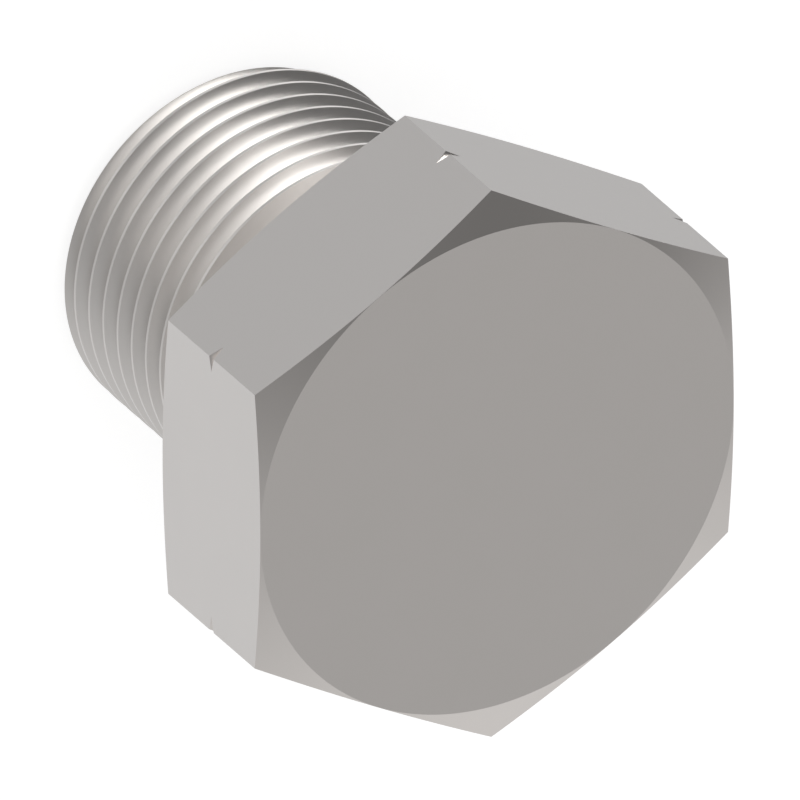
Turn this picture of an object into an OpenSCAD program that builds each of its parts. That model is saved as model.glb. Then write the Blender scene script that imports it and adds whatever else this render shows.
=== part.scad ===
// Face seal plug for a hydraulic port or swivel nut: a hexagon head on a threaded
// shank, turned from one bar, with a rubber ring seated in the end face that seals.
// It stands on that ring with the head up. Sizes are in millimetres and degrees.

/* [Hexagon head] */
// Width of the hexagon across its flats
hex_across_flats = 34.925; // [30:0.005:50]
// Height of the hexagon, from its outer face to its underside
hex_height = 12.5; // [8:0.1:20]
// Slope of the turned bevel at each end of the hexagon, from the face
hex_bevel_angle = 15; // [5:1:30]
// Depth of the fine V-groove that is turned across the corners at mid height
corner_groove_depth = 0.5; // [0.2:0.1:1.5]
// Angle between the walls of that V-groove
corner_groove_angle = 60; // [40:5:90]

/* [Shank] */
// Length of the shank, from the hexagon's underside to the sealing face
shank_length = 22.4; // [17:0.1:32]
// Length of the smooth neck, from the hexagon's underside to the first full crest
neck_length = 6.9; // [4:0.1:9]
// How far the neck lies below the bottom of the thread
neck_relief = 0.12; // [0.04:0.02:0.6]
// Radius of the fillet between the neck and the hexagon
neck_fillet = 0.8; // [0.2:0.1:2]
// Leg of the 45 degree bevel that leads the thread in at the sealing end
end_bevel = 1.25; // [1.1:0.05:2]

/* [Thread] */
// Outside diameter of the right-hand thread
thread_d = 25.1; // [24:0.1:30]
// Distance from one crest to the next
thread_pitch = 1.8143; // [1.2:0.0001:2]
// Angle between the two flanks of the thread
flank_angle = 60; // [50:1:62]
// Direction in which the groove runs out of the sealing face, from +X towards +Y
thread_start_angle = 7; // [0:1:359]

/* [Sealing ring] */
// Inside diameter of the ring
ring_bore_d = 15.6; // [12:0.1:16.5]
// Thickness of the ring's round section
ring_section = 1.78; // [1.5:0.01:2.2]
// How far the ring stands out of the sealing face
ring_stand = 0.46; // [0.2:0.02:0.7]
// Free width beside the ring in its groove
ring_side_room = 0.4; // [0.1:0.02:0.8]
// Gap between the ring and the wall and floor that it lies against
ring_gap = 0.02; // [0.01:0.01:0.1]

/* [Hidden] */

STEEL = [0.64, 0.63, 0.62];
RUBBER = [0.07, 0.07, 0.08];
OVERRUN = 0.1; // how far a cutting shape runs past the surface that it cuts

// Levels, from the surface that the plug stands on
face_z = ring_stand;
underside_z = face_z + shank_length;
top_z = underside_z + hex_height;
full_thread_top_z = underside_z - neck_length;

// Hexagon
hex_corner_r = hex_across_flats / 2 / cos(30);
hex_mid_z = underside_z + hex_height / 2;

// Thread form: crests an eighth of a pitch wide, cut 11/16 of the sharp V deep
thread_r = thread_d / 2;
crest_width = thread_pitch / 8;
sharp_depth = thread_pitch / 2 / tan(flank_angle / 2);
thread_depth = sharp_depth * 11 / 16;
root_r = thread_r - thread_depth;
neck_r = root_r - neck_relief;

// Groove for the ring, which lies against its outer wall and its floor
ring_mid_r = (ring_bore_d + ring_section) / 2;
ring_mid_z = ring_section / 2;
ring_groove_top_z = ring_section + ring_gap;
ring_groove_outer_r = ring_mid_r + ring_section / 2 + ring_gap;
ring_groove_inner_r = ring_groove_outer_r - ring_section - ring_side_room;

// Sweep that cuts the thread, from below the sealing face into the neck
SWEEP_STEPS = 48; // steps in each turn
sweep_first_z = face_z - thread_pitch;
sweep_last_z = full_thread_top_z + (thread_r - neck_r) + thread_pitch / 2;
sweep_turns = (sweep_last_z - sweep_first_z) / thread_pitch;
sweep_rings = ceil(sweep_turns * SWEEP_STEPS);

// Half the width of the thread's groove at radius r
function groove_half_width(r) =
    (thread_pitch - crest_width) / 2 - (thread_r - r) * tan(flank_angle / 2);

// The four corners of the cutting tool, as radius and height above its centre line
function tool_corners() = let (
    outer_r = thread_r + OVERRUN,
    outer_w = groove_half_width(outer_r),
    root_w = groove_half_width(root_r)
) [[root_r, -root_w], [outer_r, -outer_w], [outer_r, outer_w], [root_r, root_w]];

// A right-hand helical sweep of the cutting tool
module thread_sweep() {
    tool = tool_corners();
    n = len(tool);
    points = [
        for (i = [0 : sweep_rings], c = tool)
            let (turn = i / SWEEP_STEPS, a = thread_start_angle + 360 * turn)
            [c.x * cos(a), c.x * sin(a), sweep_first_z + thread_pitch * turn + c.y]
    ];
    sides = [
        for (i = [0 : sweep_rings - 1], j = [0 : n - 1])
            let (k = (j + 1) % n, low = i * n, high = low + n)
            each [[low + j, low + k, high + j], [low + k, high + k, high + j]]
    ];
    first_end = [for (j = [n - 1 : -1 : 0]) j];
    last_end = [for (j = [0 : n - 1]) sweep_rings * n + j];
    polyhedron(points, concat(sides, [first_end, last_end]));
}

// Profile of the turned shank, as radius and height, with its fillet under the head
module shank_profile() {
    end_r = thread_r - end_bevel;
    shoulder = thread_r - neck_r;
    polygon([
        [0, face_z],
        [end_r, face_z],
        [thread_r, face_z + end_bevel],
        [thread_r, full_thread_top_z],
        [neck_r, full_thread_top_z + shoulder],
        [neck_r, hex_mid_z],
        [0, hex_mid_z]
    ]);
    difference() {
        translate([neck_r - OVERRUN, underside_z - neck_fillet])
            square([neck_fillet + OVERRUN, neck_fillet + OVERRUN]);
        translate([neck_r + neck_fillet, underside_z - neck_fillet])
            circle(neck_fillet, $fn = 64);
    }
}

// The threaded shank before its sealing groove is cut
module threaded_shank() {
    difference() {
        rotate_extrude($fn = 128) shank_profile();
        thread_sweep();
    }
}

// Envelope that bevels both ends of the hexagon and grooves its corners
module head_envelope() {
    flat_r = hex_across_flats / 2;
    groove_r = hex_corner_r - corner_groove_depth;
    outer_r = hex_corner_r + OVERRUN;
    outer_drop = (outer_r - flat_r) * tan(hex_bevel_angle);
    groove_half = (outer_r - groove_r) * tan(corner_groove_angle / 2);
    rotate_extrude($fn = 128) polygon([
        [0, underside_z],
        [flat_r, underside_z],
        [outer_r, underside_z + outer_drop],
        [outer_r, hex_mid_z - groove_half],
        [groove_r, hex_mid_z],
        [outer_r, hex_mid_z + groove_half],
        [outer_r, top_z - outer_drop],
        [flat_r, top_z],
        [0, top_z]
    ]);
}

// Hexagon with a corner on +Y and on -Y
module hexagon_head() {
    intersection() {
        translate([0, 0, underside_z]) rotate([0, 0, 30])
            cylinder(h = hex_height, r = hex_corner_r, $fn = 6);
        head_envelope();
    }
}

// Round groove that the sealing ring lies in
module ring_groove() {
    rotate_extrude($fn = 128)
        translate([ring_groove_inner_r, face_z - OVERRUN])
            square([
                ring_groove_outer_r - ring_groove_inner_r,
                ring_groove_top_z - face_z + OVERRUN
            ]);
}

module plug_body() {
    color(STEEL) difference() {
        union() {
            hexagon_head();
            threaded_shank();
        }
        ring_groove();
    }
}

module sealing_ring() {
    color(RUBBER) rotate_extrude($fn = 128)
        translate([ring_mid_r, ring_mid_z]) circle(d = ring_section, $fn = 48);
}

plug_body();
sealing_ring();
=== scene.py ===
from math import cos, log, pi, radians, sin, tan

import bpy
from mathutils import Matrix, Vector


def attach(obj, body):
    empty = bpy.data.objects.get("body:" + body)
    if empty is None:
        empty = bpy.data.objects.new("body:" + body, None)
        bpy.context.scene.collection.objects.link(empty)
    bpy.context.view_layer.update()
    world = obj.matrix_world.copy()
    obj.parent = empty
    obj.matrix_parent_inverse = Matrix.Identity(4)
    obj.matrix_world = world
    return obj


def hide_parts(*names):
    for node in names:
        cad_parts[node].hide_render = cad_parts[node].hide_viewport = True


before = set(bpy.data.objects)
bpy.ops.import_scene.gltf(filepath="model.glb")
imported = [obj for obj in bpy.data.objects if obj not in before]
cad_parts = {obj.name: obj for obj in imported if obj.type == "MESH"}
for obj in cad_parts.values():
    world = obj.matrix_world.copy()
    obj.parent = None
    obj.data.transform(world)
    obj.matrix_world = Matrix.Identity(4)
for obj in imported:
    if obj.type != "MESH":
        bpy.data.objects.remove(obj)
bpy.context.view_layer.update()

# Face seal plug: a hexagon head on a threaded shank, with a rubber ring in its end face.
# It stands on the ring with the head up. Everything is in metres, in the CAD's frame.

MM = 0.001

# Hexagon head, as in the CAD source
ACROSS_FLATS = 34.925 * MM
HEAD_HEIGHT = 12.5 * MM
BEVEL_ANGLE = radians(15)
CORNER_GROOVE_DEPTH = 0.5 * MM
CORNER_GROOVE_ANGLE = radians(60)

# Shank, as in the CAD source
SHANK_LENGTH = 22.4 * MM
NECK_LENGTH = 6.9 * MM
NECK_RELIEF = 0.12 * MM
NECK_FILLET = 0.8 * MM
END_BEVEL = 1.25 * MM

# Thread, as in the CAD source
THREAD_RADIUS = 12.55 * MM
PITCH = 1.8143 * MM
HALF_FLANK_ANGLE = radians(30)
THREAD_START_ANGLE = radians(7)

# Sealing ring and its groove, as in the CAD source
RING_SECTION = 1.78 * MM
RING_STAND = 0.46 * MM
RING_MID_RADIUS = 8.69 * MM
RING_GROOVE_INNER = 7.42 * MM
RING_GROOVE_OUTER = 9.6 * MM
RING_GROOVE_TOP = 1.8 * MM

# Levels above the floor
FACE_Z = RING_STAND
UNDERSIDE_Z = FACE_Z + SHANK_LENGTH
TOP_Z = UNDERSIDE_Z + HEAD_HEIGHT
HEAD_MID_Z = UNDERSIDE_Z + HEAD_HEIGHT / 2
FULL_THREAD_TOP_Z = UNDERSIDE_Z - NECK_LENGTH

# Radii of the head, the thread's root and the neck
FLAT_RADIUS = ACROSS_FLATS / 2
CORNER_RADIUS = FLAT_RADIUS / cos(radians(30))
CREST_WIDTH = PITCH / 8
THREAD_DEPTH = PITCH / 2 / tan(HALF_FLANK_ANGLE) * 11 / 16
ROOT_RADIUS = THREAD_RADIUS - THREAD_DEPTH
NECK_RADIUS = ROOT_RADIUS - NECK_RELIEF

# Fineness of the turned and cut surfaces, and how far blanks and tools run past them
SHANK_SEGMENTS = 240
HEAD_SEGMENTS = 360
THREAD_STEPS = 120
FILLET_STEPS = 12
SMOOTH_ANGLE = radians(10)
OVERRUN = 0.1 * MM
BAR_OVERRUN = 2 * MM
BEVEL_INSET = 0.01 * MM


def linear(hex_colour):
    """Turn an sRGB hex colour such as D4D1CF into linear RGBA."""
    parts = [int(hex_colour[i:i + 2], 16) / 255 for i in (0, 2, 4)]
    return [p / 12.92 if p <= 0.04045 else ((p + 0.055) / 1.055) ** 2.4 for p in parts] + [1.0]


def add_node(tree, kind, inputs=None, **settings):
    """Add a node with its settings, and give its inputs values or links."""
    node = tree.nodes.new(kind)
    for name, value in settings.items():
        setattr(node, name, value)
    for name, value in (inputs or {}).items():
        if isinstance(value, bpy.types.NodeSocket):
            tree.links.new(value, node.inputs[name])
        else:
            node.inputs[name].default_value = value
    return node


def math_node(tree, operation, *values):
    """Add a Math node on numbers or links, and give its result as a socket."""
    return add_node(
        tree, "ShaderNodeMath", dict(enumerate(values)), operation=operation).outputs[0]


# Shaping by operators

def drop_selection():
    bpy.ops.object.select_all(action="DESELECT")


def keep_only(piece):
    drop_selection()
    piece.select_set(True)
    bpy.context.view_layer.objects.active = piece


def draw_out(name, stations, segments):
    """Turn a closed blank: a disc is extruded along stations of radius and height."""
    radius, height = stations[0]
    drop_selection()
    bpy.ops.mesh.primitive_circle_add(
        vertices=segments, radius=radius, fill_type="NGON", location=(0, 0, height))
    blank = bpy.context.object
    blank.name = name
    bpy.ops.object.transform_apply(location=True, rotation=True, scale=True)
    bpy.ops.object.mode_set(mode="EDIT")
    bpy.ops.mesh.select_all(action="SELECT")
    for next_radius, next_height in stations[1:]:
        bpy.ops.mesh.extrude_region_move(
            TRANSFORM_OT_translate={"value": (0, 0, next_height - height)})
        growth = next_radius / radius
        bpy.ops.transform.resize(
            value=(growth, growth, 1), center_override=(0, 0, next_height))
        radius, height = next_radius, next_height
    bpy.ops.mesh.select_all(action="SELECT")
    bpy.ops.mesh.normals_make_consistent(inside=False)
    bpy.ops.object.mode_set(mode="OBJECT")
    return blank


def combine(piece, tool, operation):
    """Cut, join or trim the piece with the tool, which is used up."""
    keep_only(piece)
    step = piece.modifiers.new("combine", "BOOLEAN")
    step.operation = operation
    step.solver = "EXACT"
    step.object = tool
    bpy.ops.object.modifier_apply(modifier=step.name)
    bpy.data.objects.remove(tool)


def select_where(piece, elements, test):
    """In edit mode, select the vertices or faces that pass the test, and nothing else."""
    bpy.ops.mesh.select_all(action="DESELECT")
    bpy.ops.object.mode_set(mode="OBJECT")
    for element in getattr(piece.data, elements):
        element.select = test(element)
    bpy.ops.object.mode_set(mode="EDIT")


# The plug's body

def shank_blank():
    """The shank before its thread is cut, with the ring's groove and the root fillet."""
    fillet_z = UNDERSIDE_Z - NECK_FILLET
    fillet = []
    for i in range(1, FILLET_STEPS + 1):
        turn = pi / 2 * i / FILLET_STEPS
        fillet.append((
            NECK_RADIUS + NECK_FILLET * (1 - cos(turn)),
            fillet_z + NECK_FILLET * sin(turn)))
    stations = [
        (RING_GROOVE_INNER, FACE_Z),
        (RING_GROOVE_INNER, RING_GROOVE_TOP),
        (RING_GROOVE_OUTER, RING_GROOVE_TOP),
        (RING_GROOVE_OUTER, FACE_Z),
        (THREAD_RADIUS - END_BEVEL, FACE_Z),
        (THREAD_RADIUS, FACE_Z + END_BEVEL),
        (THREAD_RADIUS, FULL_THREAD_TOP_Z),
        (NECK_RADIUS, FULL_THREAD_TOP_Z + THREAD_RADIUS - NECK_RADIUS),
        (NECK_RADIUS, fillet_z),
        *fillet,
        (NECK_RADIUS + NECK_FILLET, HEAD_MID_Z),
    ]
    return draw_out("shank_blank", stations, SHANK_SEGMENTS)


def thread_tool():
    """The path of the threading tool: its 60 degree tip, screwed up the shank."""
    outer = THREAD_RADIUS + OVERRUN
    half_groove = (PITCH - CREST_WIDTH) / 2
    half_outer = half_groove + OVERRUN * tan(HALF_FLANK_ANGLE)
    half_root = half_groove - THREAD_DEPTH * tan(HALF_FLANK_ANGLE)
    start_z = FACE_Z - PITCH
    end_z = FULL_THREAD_TOP_Z + THREAD_RADIUS - NECK_RADIUS + PITCH / 2
    turns = int((end_z - start_z) / PITCH) + 1
    middle = (ROOT_RADIUS + outer) / 2

    drop_selection()
    bpy.ops.mesh.primitive_plane_add(
        size=outer - ROOT_RADIUS, location=(middle, 0, start_z), rotation=(pi / 2, 0, 0))
    tool = bpy.context.object
    tool.name = "thread_tool"
    bpy.ops.object.transform_apply(location=True, rotation=True, scale=True)
    bpy.ops.object.mode_set(mode="EDIT")
    full_height = outer - ROOT_RADIUS
    select_where(tool, "vertices", lambda v: v.co.x > middle)
    bpy.ops.transform.resize(
        value=(1, 1, 2 * half_outer / full_height), center_override=(outer, 0, start_z))
    select_where(tool, "vertices", lambda v: v.co.x < middle)
    bpy.ops.transform.resize(
        value=(1, 1, 2 * half_root / full_height), center_override=(ROOT_RADIUS, 0, start_z))
    bpy.ops.object.mode_set(mode="OBJECT")

    screw = tool.modifiers.new("screw", "SCREW")
    screw.axis = "Z"
    screw.angle = 2 * pi
    screw.screw_offset = PITCH
    screw.iterations = turns
    screw.steps = THREAD_STEPS
    screw.render_steps = THREAD_STEPS
    bpy.ops.object.modifier_apply(modifier=screw.name)
    bpy.ops.object.mode_set(mode="EDIT")
    bpy.ops.mesh.select_all(action="SELECT")
    bpy.ops.mesh.remove_doubles(threshold=0.001 * MM)
    bpy.ops.mesh.fill_holes(sides=4)
    bpy.ops.mesh.select_all(action="SELECT")
    bpy.ops.mesh.normals_make_consistent(inside=False)
    bpy.ops.object.mode_set(mode="OBJECT")
    tool.rotation_euler.z = THREAD_START_ANGLE
    bpy.ops.object.transform_apply(location=True, rotation=True, scale=True)
    return tool


def hexagon_head():
    """Hexagon bar, trimmed by a turned envelope that bevels it and grooves its corners."""
    face_radius = FLAT_RADIUS - BEVEL_INSET
    outer = CORNER_RADIUS + OVERRUN
    drop = (outer - face_radius) * tan(BEVEL_ANGLE)
    groove_radius = CORNER_RADIUS - CORNER_GROOVE_DEPTH
    groove_half = (outer - groove_radius) * tan(CORNER_GROOVE_ANGLE / 2)
    envelope = draw_out("head_envelope", [
        (face_radius, UNDERSIDE_Z),
        (outer, UNDERSIDE_Z + drop),
        (outer, HEAD_MID_Z - groove_half),
        (groove_radius, HEAD_MID_Z),
        (outer, HEAD_MID_Z + groove_half),
        (outer, TOP_Z - drop),
        (face_radius, TOP_Z),
    ], HEAD_SEGMENTS)
    drop_selection()
    bpy.ops.mesh.primitive_cylinder_add(
        vertices=6, radius=CORNER_RADIUS, depth=HEAD_HEIGHT + 2 * BAR_OVERRUN,
        location=(0, 0, HEAD_MID_Z))
    head = bpy.context.object
    head.name = "hexagon_head"
    bpy.ops.object.transform_apply(location=True, rotation=True, scale=True)
    combine(head, envelope, "INTERSECT")
    return head


def make_plug():
    """Cut the thread into the shank, join the head, and give each surface its finish."""
    plug = shank_blank()
    combine(plug, thread_tool(), "DIFFERENCE")
    combine(plug, hexagon_head(), "UNION")
    plug.name = "turned_plug"
    plug.data.name = "turned_plug"
    keep_only(plug)
    bpy.ops.object.mode_set(mode="EDIT")
    bpy.ops.mesh.select_all(action="SELECT")
    bpy.ops.mesh.remove_doubles(threshold=0.0005 * MM)
    bpy.ops.mesh.normals_make_consistent(inside=False)
    bpy.ops.object.mode_set(mode="OBJECT")
    bpy.ops.object.shade_smooth_by_angle(angle=SMOOTH_ANGLE)

    plug.data.materials.clear()
    for material in (turned_stainless(), drawn_stainless(), thread_cut_stainless()):
        plug.data.materials.append(material)
    turned, drawn, threaded = range(3)
    thread_end_z = FULL_THREAD_TOP_Z + THREAD_RADIUS - NECK_RADIUS
    for face in plug.data.polygons:
        middle = face.center
        from_axis = Vector((middle.x, middle.y)).length
        upright = abs(face.normal.z) < 0.1
        if upright and middle.z > UNDERSIDE_Z and from_axis > 0.9 * FLAT_RADIUS:
            face.material_index = drawn
        elif middle.z < thread_end_z and from_axis > RING_GROOVE_OUTER + 0.1 * MM:
            face.material_index = threaded
        else:
            face.material_index = turned
    return plug


# The rubber ring

def make_ring():
    """Moulded ring with the faint line that the two halves of its mould leave."""
    drop_selection()
    bpy.ops.mesh.primitive_torus_add(
        major_segments=180, minor_segments=48, major_radius=RING_MID_RADIUS,
        minor_radius=RING_SECTION / 2, location=(0, 0, RING_SECTION / 2))
    ring = bpy.context.object
    ring.name = "rubber_ring"
    ring.data.name = "rubber_ring"
    bpy.ops.object.transform_apply(location=True, rotation=True, scale=True)
    line_height = 0.012 * MM
    nearness = 0.002 * MM
    bpy.ops.object.mode_set(mode="EDIT")
    for side in (1, -1):
        radius = RING_MID_RADIUS + side * RING_SECTION / 2
        select_where(ring, "vertices", lambda v: abs(
            Vector((v.co.x, v.co.y)).length - radius) < nearness)
        growth = (radius + side * line_height) / radius
        bpy.ops.transform.resize(
            value=(growth, growth, 1), center_override=(0, 0, RING_SECTION / 2))
    bpy.ops.object.mode_set(mode="OBJECT")
    bpy.ops.object.shade_smooth_by_angle(angle=radians(30))
    ring.data.materials.clear()
    ring.data.materials.append(moulded_nitrile())
    return ring


# Materials

def new_material(name):
    material = bpy.data.materials.new(name)
    material.use_nodes = True
    material.node_tree.nodes.clear()
    return material, material.node_tree


def finish_metal(tree, colour, colour_grain, roughness, height, depth):
    """A satin metal: its colour and gloss wander a little, and its marks give a height."""
    cloud_size = 4 * MM
    wander = 0.006
    place = add_node(tree, "ShaderNodeTexCoord").outputs["Object"]
    clouds = add_node(tree, "ShaderNodeTexNoise", {
        "Vector": place, "Scale": 1 / cloud_size, "Detail": 3.0, "Roughness": 0.55}).outputs["Fac"]
    tint = add_node(tree, "ShaderNodeMix", {
        0: clouds, 6: linear(colour), 7: linear(colour_grain)}, data_type="RGBA").outputs[2]
    gloss = add_node(tree, "ShaderNodeMapRange", {
        "Value": clouds, "From Min": 0.3, "From Max": 0.7,
        "To Min": roughness - wander, "To Max": roughness + wander}).outputs["Result"]
    bump = add_node(tree, "ShaderNodeBump", {
        "Height": height, "Strength": 1.0, "Distance": depth}).outputs["Normal"]
    shader = add_node(tree, "ShaderNodeBsdfPrincipled", {
        "Base Color": tint, "Metallic": 1.0, "Roughness": gloss, "Normal": bump})
    add_node(tree, "ShaderNodeOutputMaterial", {"Surface": shader.outputs["BSDF"]})


def distances(tree):
    """Distance from the plug's axis, and height above the floor, as sockets in metres."""
    place = add_node(tree, "ShaderNodeTexCoord").outputs["Object"]
    parts = add_node(tree, "ShaderNodeSeparateXYZ", {"Vector": place}).outputs
    flat = add_node(tree, "ShaderNodeCombineXYZ", {"X": parts["X"], "Y": parts["Y"]})
    from_axis = add_node(
        tree, "ShaderNodeVectorMath", {0: flat.outputs["Vector"]}, operation="LENGTH")
    return from_axis.outputs["Value"], parts["Z"]


def turned_stainless():
    """Stainless steel, fine turned: a calm warm grey with faint rings from the tool's feed.
    The real feed of 0.1 mm is under two pixels, so the rings are drawn 0.25 mm apart."""
    material, tree = new_material("stainless_steel_fine_turned")
    from_axis, height = distances(tree)
    travel = math_node(tree, "ADD", from_axis, height)
    rings = add_node(tree, "ShaderNodeTexNoise", {
        "W": travel, "Scale": 1 / (0.25 * MM), "Detail": 1.0}, noise_dimensions="1D").outputs["Fac"]
    finish_metal(tree, "D6D1CE", "D4D0CC", 0.3, rings, 0.0006 * MM)
    return material


def drawn_stainless():
    """Stainless steel, cold drawn bar: the flats keep faint straight lines along the bar.
    Drawn 0.2 mm apart, coarser than real, so that they show."""
    material, tree = new_material("stainless_steel_cold_drawn")
    place = add_node(tree, "ShaderNodeTexCoord").outputs["Object"]
    along = add_node(tree, "ShaderNodeMapping", {
        "Vector": place, "Scale": (1.0, 1.0, 0.02)}).outputs["Vector"]
    lines = add_node(tree, "ShaderNodeTexNoise", {
        "Vector": along, "Scale": 1 / (0.2 * MM), "Detail": 1.0}).outputs["Fac"]
    finish_metal(tree, "D4D1CF", "D3D0CE", 0.3, lines, 0.0005 * MM)
    return material


def thread_cut_stainless():
    """Stainless steel, single point cut thread: bright flanks with faint lines round them."""
    material, tree = new_material("stainless_steel_cut_thread")
    from_axis, _ = distances(tree)
    lines = add_node(tree, "ShaderNodeTexNoise", {
        "W": from_axis, "Scale": 1 / (0.12 * MM), "Detail": 1.0},
        noise_dimensions="1D").outputs["Fac"]
    finish_metal(tree, "D4D1CF", "D3D0CD", 0.36, lines, 0.0003 * MM)
    return material


def moulded_nitrile():
    """Nitrile rubber, moulded: near black and matt, with a faint grey bloom and fine grain."""
    material, tree = new_material("nitrile_rubber_moulded_matt")
    place = add_node(tree, "ShaderNodeTexCoord").outputs["Object"]
    bloom = add_node(tree, "ShaderNodeTexNoise", {
        "Vector": place, "Scale": 1 / (2.5 * MM), "Detail": 4.0}).outputs["Fac"]
    grain = add_node(tree, "ShaderNodeTexNoise", {
        "Vector": place, "Scale": 1 / (0.08 * MM), "Detail": 2.0}).outputs["Fac"]
    tint = add_node(tree, "ShaderNodeMix", {
        0: bloom, 6: linear("191A1B"), 7: linear("26272A")}, data_type="RGBA").outputs[2]
    gloss = add_node(tree, "ShaderNodeMapRange", {
        "Value": bloom, "From Min": 0.3, "From Max": 0.7,
        "To Min": 0.5, "To Max": 0.62}).outputs["Result"]
    bump = add_node(tree, "ShaderNodeBump", {
        "Height": grain, "Strength": 0.6, "Distance": 0.008 * MM}).outputs["Normal"]
    shader = add_node(tree, "ShaderNodeBsdfPrincipled", {
        "Base Color": tint, "Roughness": gloss, "IOR": 1.52, "Normal": bump})
    add_node(tree, "ShaderNodeOutputMaterial", {"Surface": shader.outputs["BSDF"]})
    return material


# Studio

def glow(tree, direction, soft_boxes):
    """Strength of all the soft boxes together, each of which fades evenly from its middle."""
    level = 0.0
    for towards, half_angle, strength in soft_boxes:
        facing = add_node(tree, "ShaderNodeVectorMath", {
            0: direction, 1: Vector(towards).normalized()}, operation="DOT_PRODUCT")
        aside = math_node(tree, "SUBTRACT", facing.outputs["Value"], 1.0)
        fall = log(2) / (1 - cos(radians(half_angle)))
        share = math_node(tree, "EXPONENT", math_node(tree, "MULTIPLY", aside, fall))
        level = math_node(tree, "MULTIPLY_ADD", share, strength, level)
    return level


def studio_light():
    """A plain studio of pale walls and soft boxes. Nearly all of it stays under 1.2 and its
    one brightest spot at 1.6, so that no flat of the hexagon clips to white. The thread's
    white bands in the photograph are light that its flanks pass on to each other, so the
    key boxes shine from the second reflection on. The camera itself sees white."""
    world = bpy.data.worlds.new("studio")
    bpy.context.scene.world = world
    world.use_nodes = True
    tree = world.node_tree
    tree.nodes.clear()
    direction = add_node(tree, "ShaderNodeTexCoord").outputs["Generated"]
    # direction of each box's middle, angle at which half its strength is left, strength
    walls = glow(tree, direction, [
        ((-0.311, -0.371, -0.875), 16.4, 0.915),
        ((-0.201, -0.1, -0.974), 24.0, 0.156),
        ((0.233, 0.379, -0.896), 24.0, 0.82),
        ((0.862, -0.493, 0.113), 22.1, 0.102),
        ((0.617, -0.463, -0.636), 17.5, 0.676),
        ((0.0, 0.751, 0.661), 27.8, 0.302),
        ((1.0, 0.0, 0.0), 72.1, 0.315),
        ((-1.0, 0.0, 0.0), 49.2, 0.059),
        ((0.0, -1.0, 0.0), 34.2, 0.627),
        ((-0.652, 0.1, -0.752), 19.6, 0.19),
        ((0.398, 0.896, 0.199), 34.2, 0.408),
        ((0.699, 0.3, 0.649), 30.5, 0.219),
        ((-0.628, -0.219, -0.747), 11.4, 0.916),
        ((-0.302, -0.905, -0.302), 21.5, 0.599),
        ((0.447, -0.844, 0.298), 13.5, 0.229),
        ((-0.497, 0.795, 0.348), 24.0, 0.367),
        ((-0.699, 0.649, 0.3), 24.0, 0.369),
        ((0.896, -0.398, -0.199), 15.1, 0.644),
        ((-0.17, 0.64, -0.75), 18.0, 0.5),
    ])
    key_boxes = glow(tree, direction, [
        ((-0.369, -0.885, -0.284), 20.4, 3.69),
        ((0.0, -1.0, 0.0), 34.2, 2.575),
    ])
    path = add_node(tree, "ShaderNodeLightPath").outputs
    wall_level = add_node(tree, "ShaderNodeMix", {
        0: path["Is Camera Ray"], 2: walls, 3: 1.0}).outputs[0]
    # a ray that the metal has reflected twice has a glossy depth of 2
    passed_on = math_node(tree, "GREATER_THAN", path["Glossy Depth"], 1.5)
    key_level = math_node(tree, "MULTIPLY", key_boxes, passed_on)
    room = add_node(tree, "ShaderNodeBackground", {"Color": (1, 1, 1, 1), "Strength": wall_level})
    keys = add_node(tree, "ShaderNodeBackground", {
        "Color": linear("FBFEFF"), "Strength": key_level})
    both = add_node(tree, "ShaderNodeAddShader", {
        0: room.outputs["Background"], 1: keys.outputs["Background"]})
    add_node(tree, "ShaderNodeOutputWorld", {"Surface": both.outputs["Shader"]})


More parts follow.
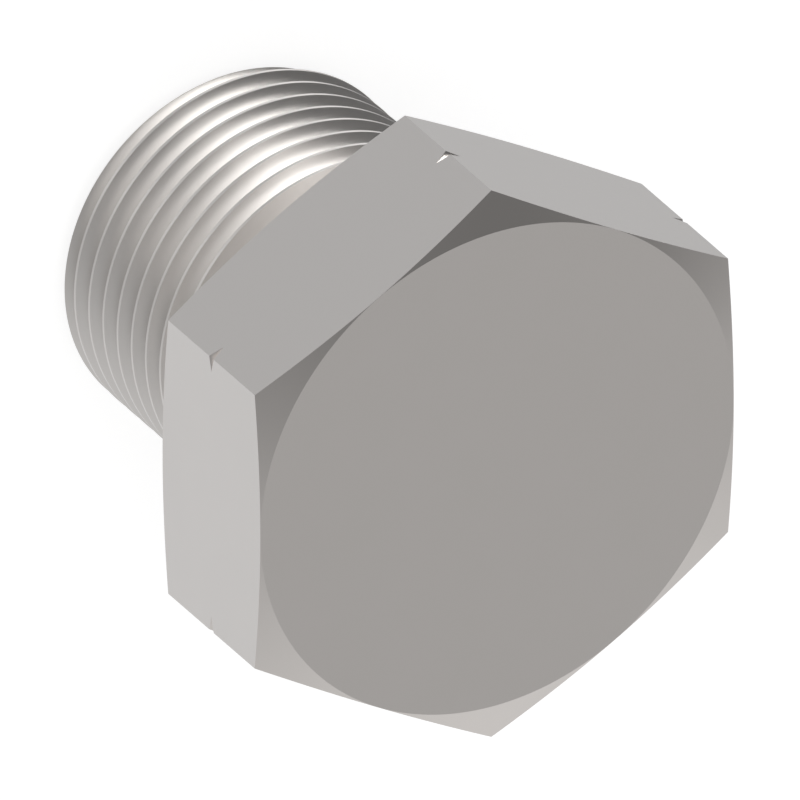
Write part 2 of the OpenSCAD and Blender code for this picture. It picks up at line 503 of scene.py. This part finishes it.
def white_floor():
    """A wide pale floor that reads white and keeps a faint shadow. From below it is clear,
    so that the sealing end shows. The metal's light passes through it."""
    drop_selection()
    bpy.ops.mesh.primitive_plane_add(size=2.0, location=(0, 0, 0))
    floor = bpy.context.object
    floor.name = "floor"
    material, tree = new_material("white_paper_matt")
    paper_grey = 0.4
    lift_to_white = 0.74
    seen = add_node(tree, "ShaderNodeLightPath").outputs["Is Camera Ray"]
    paper = add_node(tree, "ShaderNodeBsdfDiffuse", {
        "Color": (paper_grey, paper_grey, paper_grey, 1)})
    lift = math_node(tree, "MULTIPLY", seen, lift_to_white)
    white = add_node(tree, "ShaderNodeEmission", {"Color": (1, 1, 1, 1), "Strength": lift})
    both = add_node(tree, "ShaderNodeAddShader", {
        0: paper.outputs["BSDF"], 1: white.outputs["Emission"]})
    below = add_node(tree, "ShaderNodeNewGeometry").outputs["Backfacing"]
    clear = add_node(tree, "ShaderNodeBsdfTransparent")
    one_sided = add_node(tree, "ShaderNodeMixShader", {
        0: below, 1: both.outputs["Shader"], 2: clear.outputs["BSDF"]})
    add_node(tree, "ShaderNodeOutputMaterial", {"Surface": one_sided.outputs["Shader"]})
    floor.data.materials.append(material)
    floor.visible_glossy = False
    floor.visible_shadow = False


def soft_lamp(name, towards, distance, size, power):
    """A square lamp that faces the plug. Polished metal shows the studio and not the lamp."""
    data = bpy.data.lights.new(name, "AREA")
    data.size = size
    data.energy = power
    lamp = bpy.data.objects.new(name, data)
    bpy.context.scene.collection.objects.link(lamp)
    aim = Vector(towards).normalized()
    lamp.location = aim * distance
    lamp.rotation_euler = aim.to_track_quat("Z", "Y").to_euler()
    lamp.visible_glossy = False


def photo_camera():
    """A parallel view of the head's outer face and the shank behind it, rolled as in the
    photograph, which shows the plug lying with a corner of its hexagon up."""
    tilt = radians(30)
    right = Vector((-cos(tilt), 0.0, sin(tilt)))
    up = Vector((-sin(tilt) ** 2, -cos(tilt), -sin(tilt) * cos(tilt)))
    back = right.cross(up)
    image_width = 51.11 * MM
    face_right = 6.201 * MM
    face_down = 4.377 * MM
    distance = 0.4
    data = bpy.data.cameras.new("camera")
    data.type = "ORTHO"
    data.ortho_scale = image_width
    data.clip_start = 0.01
    data.clip_end = 10.0
    camera = bpy.data.objects.new("camera", data)
    bpy.context.scene.collection.objects.link(camera)
    place = Vector((0, 0, TOP_Z)) - right * face_right + up * face_down + back * distance
    turn = Matrix((right, up, back)).transposed().to_4x4()
    camera.matrix_world = Matrix.Translation(place) @ turn
    bpy.context.scene.camera = camera


plug = make_plug()
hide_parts("plug_body")
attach(plug, "root")

ring = make_ring()
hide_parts("sealing_ring")
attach(ring, "root")

studio_light()
white_floor()
soft_lamp("key_lamp", towards=(0.25, -0.35, 0.9), distance=0.45, size=0.5, power=1.2)
soft_lamp("fill_lamp", towards=(-0.6, 0.5, 0.6), distance=0.6, size=0.6, power=0.5)
photo_camera()
bpy.context.scene.view_settings.view_transform = "Standard"
